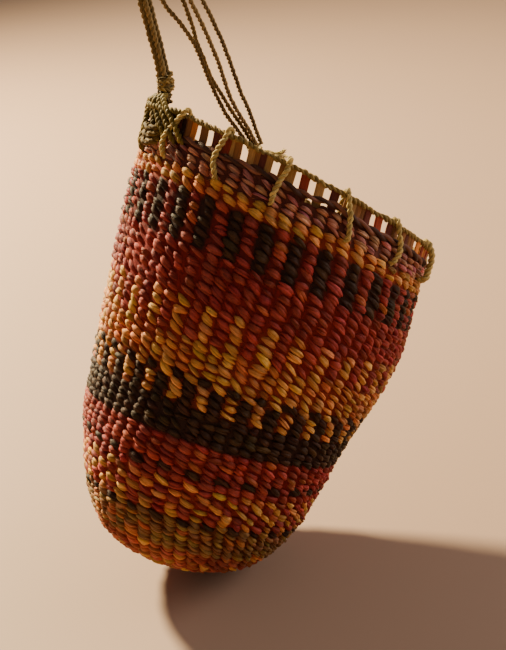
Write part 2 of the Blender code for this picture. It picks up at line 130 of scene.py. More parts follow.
# x, y, z, then a pair's distance off the middle, a string's off its pair, and its lean
LEFT_LEG = (
    (0.0123, 0.0064, -0.106, 0.00138, 0.0, 0.00138),
    (0.0116, 0.0059, -0.0986, 0.00138, 0.00005, 0.00138),
    (0.0098, 0.0037, -0.0851, 0.0014, 0.0001, 0.00138),
    (0.008, 0.0012, -0.0711, 0.00142, 0.00015, 0.00138),
    (0.0061, -0.0012, -0.0535, 0.00165, 0.0003, 0.00136),
    (0.004, -0.0041, -0.0324, 0.00215, 0.0008, 0.00122),
    (0.0, -0.0066, -0.016, 0.00275, 0.0013, 0.00062),
)
# In tenths of a millimetre: y, z, x of each of the four strings, and how far they are staggered
RIGHT_LEG = (
    (107, -160, -3, 27, 54, 81, 4),
    (228, -351, 26, 92, 124, 155, 10),
    (357, -589, 70, 164, 205, 246, 14),
    (468, -794, 146, 231, 272, 320, 14),
    (508, -869, 189, 249, 297, 348, 14),
    (549, -945, 231, 265, 321, 372, 14),
    (601, -1040, 272, 277, 348, 402, 14),
    (654, -1137, 296, 304, 374, 426, 14),
    (709, -1236, 319, 327, 392, 448, 14),
    (765, -1339, 350, 371, 414, 471, 13),
    (823, -1446, 387, 416, 452, 505, 11),
    (882, -1556, 442, 468, 497, 530, 10),
    (940, -1662, 489, 511, 533, 555, 9),
)
RIGHT_STAGGER_WAY = np.array((0.0, 0.87, 0.5))
LEFT_ANGLE = -154.0
LEFT_TOP = np.array((0.0123, 0.0064, -0.1066))
LEFT_LEAD = np.array((-0.06, -0.05, 1.0))
FAR_ANGLE = 102.0
FAR_TOP = np.array((0.0522, 0.0943, -0.1669))
FAR_LEAD = np.array((-0.04, -0.5, 0.87))

# Columns of stitches: one for each warp
COLUMNS = 64
COLUMN_UNEVEN = 0.07
PAIR_UNEVEN = 0.04
FRONT_ANGLE = math.radians(-103.5)  # middle of column 0, which runs straight down the front
COLUMN_FADE = 0.014  # a warp that ends gets narrower over this length
# Pairs of warps at the back that end on the way down: distance below the rim line, first column
ENDING_PAIRS = ((0.098, 30), (0.112, 38), (0.124, 24), (0.134, 34), (0.146, 42))
BASE_START = 0.156  # below this the warps end evenly all round
BASE_WIDTH = 0.0062  # width of a column on the base
BASE_COLUMNS = 5  # columns that reach the middle of the base

# Bands down the bag: how far down each ends, rows in it, dye of the even and of the odd columns
BANDS = (
    (0.0114, 3, "plum", "plum"),
    (0.0186, 2, "ochre", "ochre"),
    (0.039, 5, "dark", "red"),
    (0.0595, 5, "red", "red"),
    (0.0757, 4, "ochre", "red"),
    (0.0902, 4, "ochre", "amber"),
    (0.094, 1, "ochre", "dark"),
    (0.1042, 3, "dark", "ochre"),
    (0.1188, 4, "dark", "dark"),
    (0.1319, 4, "red", "red"),
    (0.1354, 1, "dark", "red"),
    (0.1392, 1, "red", "red"),
    (0.143, 1, "ochre", "red"),
    (0.1466, 1, "red", "ochre"),
    (0.1503, 1, "ochre", "red"),
    (0.154, 1, "red", "ochre"),
    (0.1575, 1, "red", "amber"),
    (0.1612, 1, "dark", "khaki"),
    (0.178, 6, "khaki", "khaki"),
    (0.188, 3, "orange", "orange"),
    (0.1915, 1, "orange", "ochre"),
    (0.202, 3, "orange", "orange"),
    (0.2055, 1, "ochre", "orange"),
    (0.216, 3, "orange", "orange"),
    (0.2255, 3, "plum", "plum"),
)
BAND_START = 0.0032
LAST_ROW = 0.4  # a row nearer the middle of the base than this share of its pitch is left out
# The ochre band is deeper on the left: from which reach at its middle, to which reach, its middle in degrees
# and how far it runs to both sides, narrowing to nothing
LEFT_OCHRE = (0.0455, 0.0757, -190.0, 38.0)
# Dyes that turn up among the stitches of another: how often, and which
STRAYS = {
    "red": (0.09, "orange"), "amber": (0.3, "ochre"), "orange": (0.12, "ochre"), "khaki": (0.1, "amber"),
}
# Linear colours of each dye: of the stitches, and of the warps in a band of it
# The warps' colours are darker and redder than the stitches': partly painted shade and red bounce light
# between the stitches.
DYES = {
    "plum": ((0.39, 0.172, 0.122), (0.095, 0.023, 0.014)),
    "ochre": ((0.55, 0.258, 0.068), (0.23, 0.026, 0.004)),
    "amber": ((0.46, 0.16, 0.042), (0.205, 0.02, 0.004)),
    "red": ((0.275, 0.039, 0.028), (0.175, 0.006, 0.002)),
    "dark": ((0.044, 0.02, 0.008), (0.028, 0.009, 0.004)),
    "khaki": ((0.24, 0.124, 0.038), (0.12, 0.03, 0.008)),
    "orange": ((0.34, 0.088, 0.036), (0.19, 0.02, 0.005)),
}
# The warps: their shape across is (share of a column from its middle, distance out)
WARP_ROWS = 110
WARP_START = 0.0012
WARP_LOWERED = 1.6  # how far they start below the gap under the top strand, against the rows
WARP_OUTER = ((-0.5, -0.0026), (-0.25, -0.0022), (0.0, -0.0019), (0.25, -0.0022))
WARP_INNER = ((-0.5, -0.0027), (-0.25, -0.0027), (0.0, -0.0027), (0.25, -0.0027))
WARP_PAINTED_SHADE_MIDDLE = math.radians(128.0)  # middle of the side facing the key light, where the warps are painted darker: painted shade between the stitches
WARP_PAINTED_SHADE = 0.62
WARP_PAINTED_SHADE_EDGE = 2.5
WARP_DARKER = 0.4  # how far the paler warps of a band take the darker ones' dye
# Groups of rows, each joined into one piece: name, how far down it ends
WEAVE_PIECES = (
    ("weave_top", 0.039),
    ("weave_upper", 0.0757),
    ("weave_middle", 0.1188),
    ("weave_lower", 0.1612),
    ("weave_base", 1.0),
)

# Size of a stitch
OUTER_POINTS = (8, 6)  # along it and across it
INNER_POINTS = (7, 6)
STITCH_ROUND = math.radians(100)  # half of the turn that its section covers
STITCH_REACH = 1.2  # its length in column widths, ends tucked between its neighbours
STITCH_RISE = 0.003  # from the groove to its crest
BASE_RELIEF = ((0.105, 0.13, 0.175), (1.0, 0.85, 0.6))  # distances down, and the share of that rise there
STITCH_DEEPEST = 0.0034  # its ends lie no deeper in the wall than this
STITCH_THICK = 0.0015
STITCH_RAGGED = 0.028  # its surface is uneven by this share of a pitch
STITCH_ARCH = 0.08  # it bows upward by this share of a pitch
STITCH_CREASE = 0.0002
STITCH_LEAST_RADIUS = 0.012  # of the bag, where the slope of a stitch is worked out
PLY_THICK = 0.85  # each of its two plies has this share of its thickness
PLY_PLUMP = 0.74  # and this share of its height
PLY_APART = 0.27  # and lies this share of it off the middle
INNER_RELIEF = 0.55  # the inner side is flatter
INNER_DEEPEST = 0.001
INNER_CLEAR = 0.0001
# Form of a stitch
HUMP_SIDE = 0.9
HUMP_POWER = 0.62
SWELL_LEAST = 0.06
SWELL_POWER = 0.8
SWELL_SIDES = (0.4, 1.8)
THIN_END = 0.25
SECTION_POWER = 0.68
# How unlike its neighbours a stitch is: what its plies share and what each has alone
SHARED_UNEVEN = 0.85
PLY_UNEVEN = 0.45
# Of its length, slope, fullest place, thickness, depth, height and place down, then out of the wall in metres
UNEVEN = (0.13, 0.13, 0.18, 0.08, 0.1, 0.17, 0.09, 0.0002)
TURN_UNEVEN = 0.07
# How its colour changes
STITCH_SHADE = 0.18
PLY_SHADE = 0.07
HUE_UNEVEN = (0.05, 0.14, 0.14)
STREAK_SHADE = 0.17
END_PAINTED_SHADE_AND_DYE = (0.1, 0.8, 0.9)  # what its ends lose of red, green and blue: painted shade and red bounce light where they dive between their neighbours, with some darker dye
END_LIGHT_AND_WEAR = 3.0  # its raised end is painted paler, the more it stands up, and its other end darker: painted highlight and shade, with some wear
# What changes down the bag: reach, slope down to the right, then share of the height and of the length
DOWN = (
    (0.0, 0.24, 1.26, 0.84),
    (0.012, 0.26, 1.22, 0.88),
    (0.02, 0.27, 1.12, 0.95),
    (0.04, 0.34, 1.04, 1.0),
    (0.062, 0.42, 1.04, 1.0),
    (0.095, 0.38, 1.04, 1.0),
    (0.112, 0.26, 1.08, 1.0),
    (0.13, 0.34, 1.1, 1.0),
    (0.16, 0.34, 1.1, 1.04),
    (0.178, 0.32, 1.12, 1.08),
    (0.2, 0.22, 1.12, 1.08),
)
# What changes round the bag: degrees, share of the slope, half of a stitch's height in row pitches, where its
# fullest part lies (below 1 is to the left), share of the length
HAND = (
    (-170, 1.15, 0.33, 0.8, 0.86),
    (-145, 1.15, 0.335, 0.82, 0.88),
    (-125, 0.95, 0.36, 0.95, 0.94),
    (-105, 0.8, 0.39, 1.05, 1.0),
    (-85, 0.85, 0.395, 1.08, 1.0),
    (-60, 1.15, 0.39, 1.08, 0.98),
    (-40, 1.15, 0.385, 1.05, 0.98),
    (60, 1.0, 0.385, 1.0, 1.0),
    (150, 1.1, 0.35, 0.9, 0.94),
)
# Slow unevenness of rows and columns: waves round the bag, waves down it, phase
DRIFTS = ((2, 3.1, 0.4), (5, 1.7, 2.0), (7, 4.3, 3.9), (11, 2.9, 5.2), (13, 6.1, 1.3))
ROW_DRIFT = 0.00022
COLUMN_DRIFT = 0.0038  # radians

# The strand of fibre twined along the top of the weave
STRAND_REACH = 0.001
STRAND_OUT = -0.0013
STRAND_RADIUS = 0.0017
STRAND_DRIFT = 0.0004
STRAND_RISE = 0.002  # it rises at one place
STRAND_RISE_ANGLE = math.radians(-73.0)
STRAND_RISE_SPREAD = math.radians(9.0)
STRAND_PITCH = 0.015
STRAND_TINT = (0.105, 0.04, 0.024)
STRAND_SHADES = (0.55, 1.7)
# The gap below it: degrees, spread, how far the rows are pushed down
GAPS = ((-82.0, 5.2, 0.0015), (-70.0, 6.0, -0.0008))
GAP_FULL = 1.4
GAP_FADE = 0.012

# Strips between the weave and the rim cord
STRIP_TINTS = {
    "tan": (0.38, 0.2, 0.062),
    "orange": (0.48, 0.15, 0.026),
    "brown": (0.19, 0.075, 0.022),
    "red": (0.26, 0.036, 0.014),
    "maroon": (0.11, 0.022, 0.014),
    "dusky": (0.032, 0.011, 0.008),
}
# Strips along the near side of the rim: the degrees of those of each dye
NEAR_STRIPS = {
    "dusky": (-171, -168, -165, -161, -157, -153, -149, -145, -141, -138, -133),
    "maroon": (-135.5, -117.5, -115.5, -99.8, -74.9, -70, -48.5, -37.8),
    "brown": (-131, -122.6, -109, -101.8, -92.6, -68, -63.6, -61, -50.5, -46.3, -40, -35.8),
    "orange": (-128.8, -94.8, -56.3, -31, -28.8),
    "red": (-113.3, -86, -84.2, -54.9),
    "tan": (-111, -104, -99.2, -90.3, -80.2, -65.5, -42),
}
NEAR_STRIP = 2.2  # degrees within which a strip takes its dye from there
OTHER_STRIPS = ("tan", "brown", "orange", "red", "maroon", "brown")
STRIP_WIDTH = 2.3  # degrees
STRIP_OVERLAP = 0.25
STRIP_LEAN = 0.5
STRIP_DEEP = 0.0006
STRIP_ROWS = 8
STRIP_FOOT = 0.0018
STRIP_LOWERED = 2.0  # how far its foot goes down with the gap under the top strand, against the rows
STRIP_OVER = 0.0004
STRIP_BACK = 0.0007
STRIP_BOW = 0.0004
STRIP_TUCK = (0.0006, 0.001, 0.002)  # how far it goes in for each mm of depth, from where, and over how much
STRIP_SHADE = 0.15
STRIP_FOOT_PAINTED_SHADE = (0.0008, 0.3)  # below this depth, behind the top strand, it is painted darker: painted shade, with only this share of its colour left
# Its section: share across it, share of its thickness back
STRIP_SECTION = (
    (0.0, 0.35), (0.25, 0.1), (0.5, 0.0), (0.75, 0.1), (1.0, 0.35), (1.0, 1.0), (0.5, 0.75), (0.0, 1.0),
)

# Twisted strings
OLIVE = (0.25, 0.165, 0.045)
PALE_OLIVE = (0.48, 0.345, 0.11)
HANDLE_TINT = (0.195, 0.13, 0.043)
HANDLE_SHADES = (1.0, 0.9, 1.1, 0.95)
HANDLE_PLUMP = 1.03
NO_WAY = (0.31, 0.52, 0.79)  # a direction that no string runs in
PLY_SWING = 0.46  # how far its two plies lie off the middle of a string, against its radius
PLY_RADIUS = 0.58
PLY_WAVES = (3, 7, 13)
PLY_SHADES = (0.85, 1.15)
PLY_STREAK = 0.16
RIM_STEPS = 720
RIM_RISE = 0.0004
RIM_WOBBLE = ((0.00025, 17, 0), (0.0002, 31, 1))  # height, waves round the rim, phase
RIM_PLUMP = 1.35
SHORT_LAY = 0.0054  # length of one turn of the two plies in the rim cord and the lashings

# Lashings, from inside the weave, over the cord and down: depth and distance out
LASHING_INSIDE = ((0.005, -0.004), (0.001, -0.0046), (-0.004, -0.0043))
LASHING_BEND = 0.0021
LASHING_TURNS = (165, 125, 90, 55, 15)
LASHING_OUT = (0.0012, 0.0014, 0.0014, 0.0012)
LASHING_END = (0.0108, -0.001)
LASHING_THICK = 0.00135
LASHING_LOOSE = {6: 0.0013}  # how far a lashing stands off the weave
LOOSE_THICK = 0.25

# Necks of the bindings: depth of the foot, how far it rises straight, and radii from foot to top
NECK_BASE_DEPTH = -0.0094
NECK_RISE = 0.0032
NECK_LEAD = 0.004
NECK_CORE = 0.8
NECK_CORE_SHADE = 0.5
LEFT_NECK = np.array((40, 48, 45, 38, 31, 28, 28, 40, 36, 34, 43, 42)) / TENTHS
FAR_NECK = np.array((26, 34, 36, 34, 37, 34, 37, 35, 38, 37, 40, 41)) / TENTHS
# Strings wound round a neck: pitch, radius, shade, from where to where, lean
LEFT_WINDINGS = (
    (0.0023, 0.0009, 0.5, 0.05, 0.8, 0.0),
    (0.0026, 0.0011, 1.2, 0.62, 0.98, 0.35),
    (0.004, 0.0011, 1.1, 0.6, 0.95, -0.45),
)
FAR_WINDING = (0.0024, 0.001, 0.85, 0.03, 0.97, 0.0)
WINDING_STEPS = 14
WINDING_SUNK = 0.4
WINDING_WOBBLE = (0.05, 0.37)
# Strings from the foot of the left neck over the rim: radius, shade (lower for the strings in the middle of
# the spread: painted shade), then depth, distance out and degrees from the neck of points along each; lengths
# in tenths of a millimetre, as in LEFT_WRAP and FAR_LEG
LEFT_TURNS = (
    (12, 0.7, ((-120, -30, -0.5), (-104, 10, -1), (-66, 22, -3.5), (-20, 18, -6), (30, 16, -7.3),
        (75, 14, -7.4), (105, -6, -7))),
    (12, 0.52, ((-115, -30, 0), (-96, 16, -0.3), (-56, 26, -2.4), (-12, 22, -4.6), (40, 18, -5.6),
        (85, 14, -5.4), (110, -6, -5))),
    (15, 0.44, ((-45, -30, -6), (-60, 10, -4), (-66, 34, 0), (-64, 32, 6), (-66, 20, 12), (-78, 8, 19))),
    (18, 0.44, ((-120, -10, 1.5), (-92, 28, 1), (-72, 36, 0.4), (-60, 20, 0))),
    (18, 0.42, ((-120, -10, 2.8), (-95, 26, 3.4), (-76, 34, 4.2), (-60, 18, 5))),
    (17, 0.48, ((-120, -10, 0.2), (-96, 26, -1.2), (-76, 34, -2.4), (-60, 18, -3.4))),
    (14, 0.5, ((-124, -6, 4), (-100, 24, 8), (-70, 28, 12), (-38, 22, 16), (-6, 14, 19.5), (22, 4, 21.5),
        (32, -14, 22))),
    (14, 0.4, ((-122, -6, 2.6), (-96, 24, 5.2), (-62, 28, 8.5), (-30, 22, 12), (2, 16, 15), (28, 4, 17),
        (38, -14, 17.6))),
    (14, 0.34, ((-118, -6, 1), (-92, 22, 2.4), (-58, 26, 4.6), (-26, 20, 7.2), (6, 10, 9.8),
        (30, -4, 11.4))),
    (14, 0.3, ((-118, -6, -0.6), (-92, 22, 0), (-58, 26, 1.4), (-24, 18, 3), (8, 18, 4.2), (30, 8, 4.8))),
    (15, 0.42, ((-118, -6, -2), (-92, 24, -3), (-58, 28, -3.8), (-24, 22, -3.8), (8, 24, -2.8),
        (30, 14, -1.6))),
)
LEFT_TURN_TINT = np.array((0.39, 0.275, 0.05))
# Turns worked round the wall beside the neck: how deep each is, then the shape of one
LEFT_WRAPS = (0.0016, 0.0044, 0.0072)
LEFT_WRAP = (
    (-16, -20, -2.5), (-8, 14, -1.5), (6, 26, 1.5), (4, 24, 4.5), (-10, 12, 7.5), (-18, -20, 8.5),
)
LEFT_WRAP_TINT = (0.118, 0.07, 0.013)
# One of the two legs of the far binding; the other mirrors it
FAR_LEG = (
    (-105, -40, 0), (-118, -16, 0), (-114, 3, 2), (-80, 16, 3), (-30, 16, 3), (30, 15, 3.2), (85, 14, 3),
    (105, -10, 3),
)
# Each frayed end: how far its fibres spread at the tip, and the line of its middle
FRAYED = (
    (0.0014, (
        (0.0535, 0.0945, -0.1715), (0.059, 0.095, -0.1712), (0.064, 0.0955, -0.1722),
        (0.0695, 0.0955, -0.17))),
    (0.0016, (
        (0.0535, 0.0945, -0.1715), (0.059, 0.095, -0.1714), (0.064, 0.0955, -0.1728),
        (0.0708, 0.095, -0.1748))),
)
FRAYED_TINT = (0.56, 0.46, 0.15)
FIBRES = 26
FIBRE_RADII = (0.00032, 0.35)  # at its root, and the share of that at its tip
FIBRE_START = 0.00055
FIBRE_GATHER = 0.3
FIBRE_CURL = (0.0004, 7)
FIBRE_LENGTHS = (0.75, 1.0)
FIBRE_SPREAD_POWER = 2.2
FIBRE_SHADES = (0.8, 1.4)

# Materials
GRAIN_SHADE = (0.84, 1.16)
TEXTURE_OFFSET = 900  # pieces of fibre start their texture up to this many mm along it
STRING_OFFSET = 90

# Floor, light and camera
FLOOR_CLEAR = 0.0015  # the bag hangs just clear of the floor
FLOOR_HALF = 6.0
FLOOR_COLOURS = ((0.34, 0.226, 0.16, 1.0), (0.36, 0.24, 0.17, 1.0))
LIGHT_TARGET = (0.0, 0.0, -0.25)
# Name, place, size, watts, colour
LIGHTS = (
    ("key", (-0.87, 1.09, 0.72), 0.2, 160.0, (1.0, 0.82, 0.5)),
    ("side", (1.7, 0.05, 0.45), 1.2, 22.0, (1.0, 0.87, 0.79)),
)
CAMERA_PLACE = (0.0417, -0.5634, 0.0086)
CAMERA_RIGHT = (0.9952, -0.0381, -0.0898)
CAMERA_UP = (0.0976, 0.3889, 0.9161)
CAMERA_LENS = 69.23
SENSOR_HEIGHT = 36.0


def rotation(axis, angle):
    x, y, z = axis
    cross = np.array(((0, -z, y), (z, 0, -x), (-y, x, 0)), float)
    return np.eye(3) + math.sin(angle) * cross + (1 - math.cos(angle)) * cross @ cross


HANG = rotation((-math.sin(LEAN_TOWARD), math.cos(LEAN_TOWARD), 0), LEAN) @ rotation((0, 0, 1), SPIN)


def unit(way):
    return way / np.linalg.norm(way)


def length_of(line):
    return np.linalg.norm(np.diff(line, axis=0), axis=1).sum()


def reach_along(line):
    """Distance along a line to each of its points."""
    return np.concatenate(([0.0], np.cumsum(np.linalg.norm(np.diff(line, axis=0), axis=1))))


def smooth_line(points, count, last=None):
    """Points at count even steps along a Catmull-Rom curve; last is the mirror point beyond a pole."""
    points = np.asarray(points, float)
    beyond = 2 * points[-1] - points[-2] if last is None else np.asarray(last, float)
    ends = np.vstack((2 * points[0] - points[1], points, beyond))
    t = np.linspace(0, 1, num=16, endpoint=False)[:, None]
    runs = []
    for a, b, c, d in zip(ends, ends[1:], ends[2:], ends[3:]):
        square = (2 * a - 5 * b + 4 * c - d) * t ** 2
        cube = (3 * b - a - 3 * c + d) * t ** 3
        runs.append(0.5 * (2 * b + (c - a) * t + square + cube))
    return even_line(np.vstack(runs + [points[-1:]]), count)


def even_line(line, count):
    reach = reach_along(line)
    wanted = np.linspace(0, reach[-1], count + 1)
    return np.stack([np.interp(wanted, reach, line[:, k]) for k in range(line.shape[1])], axis=1)


FINE = smooth_line(OUTLINE, OUTLINE_STEPS, (OUTLINE[-2][0], -OUTLINE[-2][1], OUTLINE[-2][2]))
FINE_REACH = np.concatenate(([0.0], np.cumsum(np.hypot(np.diff(FINE[:, 0]), np.diff(FINE[:, 1])))))
FINE_WAY = np.gradient(FINE[:, :2], FINE_REACH, axis=0)
REACH_END = FINE_REACH[-1]


def bump(angle, middle, spread):
    """1 at an angle, fading over the spread on both sides."""
    away = np.remainder(angle - middle + math.pi, TAU) - math.pi
    return np.exp(-(away / spread) ** 2)


def place(depth, radius, angle, drift=0.0):
    """World places of points of the bag; angle in radians from +X of the bag, seen from above."""
    pinch = bump(angle, PINCH_ANGLE, PINCH_SPREAD)
    reach = radius - PINCH * pinch * np.clip(1.0 - depth / PINCH_DEPTH, 0.0, 1.0)
    inward = np.clip((LENGTH - depth) / LENGTH * LUMP_FADE, 0.0, 1.0)
    for around, down, height, phase in LUMPS:
        reach = reach + inward * height * np.sin(around * angle + phase + down * TAU * depth / LENGTH)
    reach = np.maximum(reach, 0.0)
    x = reach * np.cos(angle)
    y = reach * np.sin(angle)
    dip = RIM_DIP * bump(angle, PINCH_ANGLE, RIM_DIP_SPREAD) * np.clip(-depth / STRIP_HEIGHT, 0.0, 1.0)
    fade = (1.0 - depth / LENGTH) ** 2
    down = depth + dip + fade * (SKEW_ACROSS * x + SKEW_AWAY * y)
    return RIM_CENTRE + np.stack((x + drift, y, -down), axis=-1) @ HANG.T


def on_wall(reach, angle, out):
    """World places at a distance down the outline from the rim line, and a distance out of it."""
    inside = np.clip(reach, 0.0, REACH_END)
    depth, radius, drift = (np.interp(inside, FINE_REACH, FINE[:, k]) for k in range(3))
    way_depth, way_radius = (np.interp(inside, FINE_REACH, FINE_WAY[:, k]) for k in range(2))
    above = np.minimum(reach, 0.0)
    return place(depth + above - way_radius * out, np.maximum(radius + way_depth * out, 0.0), angle, drift)


def rim_line(rows, degrees, count=120, unit=1):
    """A smooth line near the rim through (depth, distance out, degrees from the given ones)."""
    rows = np.array(rows) / (unit, unit, 1)
    points = place(rows[:, 0], RIM_RADIUS + rows[:, 1], np.radians(degrees + rows[:, 2]))
    return smooth_line(points, count)


# Paint


def material(name, slot, paint):
    """A node material whose nodes are laid by the given function."""
    result = bpy.data.materials.new(name)
    result.use_nodes = True
    nodes = result.node_tree.nodes
    paint(nodes, result.node_tree.links, nodes["Principled BSDF"])
    result["slot"] = slot
    return result


def add_node(nodes, kind, inputs=None, **settings):
    """A new shader node with these settings and input values."""
    node = nodes.new("ShaderNode" + kind)
    for name, value in settings.items():
        setattr(node, name, value)
    for name, value in (inputs or {}).items():
        node.inputs[name].default_value = value
    return node


def fibre_noise(nodes, links, along, across, detail=4.0, seed=0.0):
    """Noise stretched along the fibre, from the lengths kept on each mesh."""
    lengths = add_node(nodes, "Attribute", attribute_name="fibre")
    mapping = add_node(nodes, "Mapping", {"Location": (seed, seed, seed), "Scale": (along, across, 1.0)})
    noise = add_node(nodes, "TexNoise", {"Scale": 1.0, "Detail": detail, "Roughness": 0.6})
    links.new(lengths.outputs["Vector"], mapping.inputs["Vector"])
    links.new(mapping.outputs["Vector"], noise.inputs["Vector"])
    return noise.outputs["Fac"]


def ramp(nodes, links, source, low, high):
    """Maps noise to a range of values."""
    node = add_node(nodes, "MapRange", {"From Min": 0.3, "From Max": 0.7, "To Min": low, "To Max": high})
    links.new(source, node.inputs["Value"])
    return node.outputs["Result"]


def combine(nodes, links, operation, first, second):
    """The sum or product of two values."""
    node = add_node(nodes, "Math", operation=operation)
    links.new(first, node.inputs[0])
    links.new(second, node.inputs[1])
    return node.outputs["Value"]


def fibre_paint(coarse, fine, shade, rough, relief, sheen):
    """Paint for dyed plant fibre: the tint kept on the mesh, streaked and grained along the fibre."""
    def paint(nodes, links, shader):
        tint = add_node(nodes, "Attribute", attribute_name="tint")
        streaks = fibre_noise(nodes, links, *coarse)
        grain = fibre_noise(nodes, links, *fine, detail=2.0, seed=7.0)
        streak_shade = ramp(nodes, links, streaks, *shade)
        grain_shade = ramp(nodes, links, grain, *GRAIN_SHADE)
        mixed = add_node(nodes, "VectorMath", operation="SCALE")
        links.new(tint.outputs["Color"], mixed.inputs[0])
        links.new(combine(nodes, links, "MULTIPLY", streak_shade, grain_shade), mixed.inputs["Scale"])
        links.new(mixed.outputs["Vector"], shader.inputs["Base Color"])
        links.new(ramp(nodes, links, streaks, *rough), shader.inputs["Roughness"])
        lift = add_node(nodes, "Bump", {"Strength": relief, "Distance": 0.0002})
        links.new(combine(nodes, links, "ADD", streaks, grain), lift.inputs["Height"])
        links.new(lift.outputs["Normal"], shader.inputs["Normal"])
        shader.inputs["Sheen Weight"].default_value = sheen
        shader.inputs["Sheen Roughness"].default_value = 0.5
        shader.inputs["Specular IOR Level"].default_value = 0.2
    return paint


# Each finish: name, slot, waves per millimetre along and across the fibre of its streaks and its grain,
# ranges of shade and roughness, bump, sheen
STITCH_FINISH, STRIP_FINISH, CORD_FINISH, HANDLE_FINISH = (
    material(name, slot, fibre_paint(*row)) for name, slot, *row in (
        ("dyed_fibre", "woven_fibre", (0.25, 1.8), (0.8, 7.0), (0.62, 1.32), (0.5, 0.7), 0.9, 0.0),
        ("flat_fibre", "woven_fibre", (0.12, 1.8), (0.5, 6.0), (0.7, 1.25), (0.5, 0.75), 0.6, 0.0),
        ("pale_twine", "olive_string", (0.3, 2.2), (0.9, 7.0), (0.52, 1.42), (0.55, 0.8), 0.8, 0.0),
        ("handle_twine", "handle_string", (0.3, 2.2), (0.9, 7.0), (0.6, 1.3), (0.55, 0.8), 0.7, 0.04),
    ))


# Meshes: a part is (places, faces, tint, fibre), with a colour and fibre lengths for each place


def linked(name, data):
    """A new object in the scene."""
    thing = bpy.data.objects.new(name, data)
    bpy.context.scene.collection.objects.link(thing)
    return thing


def new_piece(name, part, finish, replaced):
    """A smooth mesh of one part, riding on the root body in place of a node."""
    places, faces, tint, fibre = part
    mesh = bpy.data.meshes.new(name)
    mesh.from_pydata(places.tolist(), [], faces.tolist() if hasattr(faces, "tolist") else faces)
    mesh.materials.append(finish)
    mesh.shade_smooth()
    colour = mesh.attributes.new("tint", "FLOAT_COLOR", "POINT")
    colour.data.foreach_set("color", np.concatenate((tint, np.ones((len(tint), 1))), axis=1).ravel())
    lengths = mesh.attributes.new("fibre", "FLOAT_VECTOR", "POINT")
    lengths.data.foreach_set("vector", fibre.ravel())
    mesh.validate()
    piece = linked(name, mesh)
    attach(piece, "root")
    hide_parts(replaced)
    return piece


def grid_faces(copies, along, across, closed_across=False, closed_along=False):
    """Quads of many equal grids of points, numbered one grid after another."""
    i = np.arange(along if closed_along else along - 1)[:, None]
    j = np.arange(across if closed_across else across - 1)[None, :]
    ahead = (i + 1) % along
    beside = (j + 1) % across
    corners = (i * across + j, ahead * across + j, ahead * across + beside, i * across + beside)
    quads = np.stack(corners, axis=-1).reshape(-1, 4)
    return (quads[None] + (np.arange(copies) * along * across)[:, None, None]).reshape(-1, 4)


def join(parts):
    """Joins parts into one."""
    shift = 0
    all_faces = []
    for places, faces, _, _ in parts:
        if hasattr(faces, "shape"):
            all_faces += (faces + shift).tolist()
        else:
            all_faces += [[k + shift for k in face] for face in faces]
        shift += len(places)
    places, _, tints, fibres = zip(*parts)
    return np.vstack(places), all_faces, np.vstack(tints), np.vstack(fibres)


def frames_along(path, closed=False):
    """Two unit vectors square to the path at each of its points, carried along without twist."""
    if closed:
        tangents = np.roll(path, -1, axis=0) - np.roll(path, 1, axis=0)
    else:
        tangents = np.gradient(path, axis=0)
    tangents /= np.linalg.norm(tangents, axis=1)[:, None]
    side = unit(np.cross(tangents[0], NO_WAY))
    sides = []
    for tangent in tangents:
        side = unit(side - tangent * side.dot(tangent))
        sides.append(side)
    sides = np.array(sides)
    if closed:
        # The frame comes back turned by some angle after one round, which is taken out evenly.
        ups = np.cross(tangents, sides)
        end = sides[-1]
        off = math.atan2(end.dot(ups[0]), end.dot(sides[0]))
        turn = -off * np.arange(len(path)) / len(path)
        sides = sides * np.cos(turn)[:, None] + ups * np.sin(turn)[:, None]
    return sides, np.cross(tangents, sides)


def strand(path, radius, sides_count, tint, closed=False, offset=0.0):
    """A round tube along a path, as one part; radius is one value or one for each point."""
    sides, ups = frames_along(path, closed)
    radius = np.broadcast_to(radius, (len(path),))
    turn = TAU * np.arange(sides_count) / sides_count
    ring = sides[:, None, :] * np.cos(turn)[None, :, None] + ups[:, None, :] * np.sin(turn)[None, :, None]
    places = path[:, None, :] + ring * radius[:, None, None]
    around = np.abs(np.linspace(-1, 1, sides_count, endpoint=False))
    fibre = np.zeros(places.shape)
    fibre[:, :, 0] = (reach_along(path) / MM)[:, None]
    fibre[:, :, 1] = around[None, :] * math.pi * radius[:, None] / MM
    fibre[:, :, 2] = offset
    faces = grid_faces(1, len(path), sides_count, True, closed).tolist()
    if not closed:
        faces.append(list(range(sides_count))[::-1])
        faces.append([(len(path) - 1) * sides_count + k for k in range(sides_count)])
    shade = np.broadcast_to(np.asarray(tint), (len(path), 3))[:, None, :] * np.ones((1, sides_count, 1))
    return places.reshape(-1, 3), faces, shade.reshape(-1, 3), fibre.reshape(-1, 3)


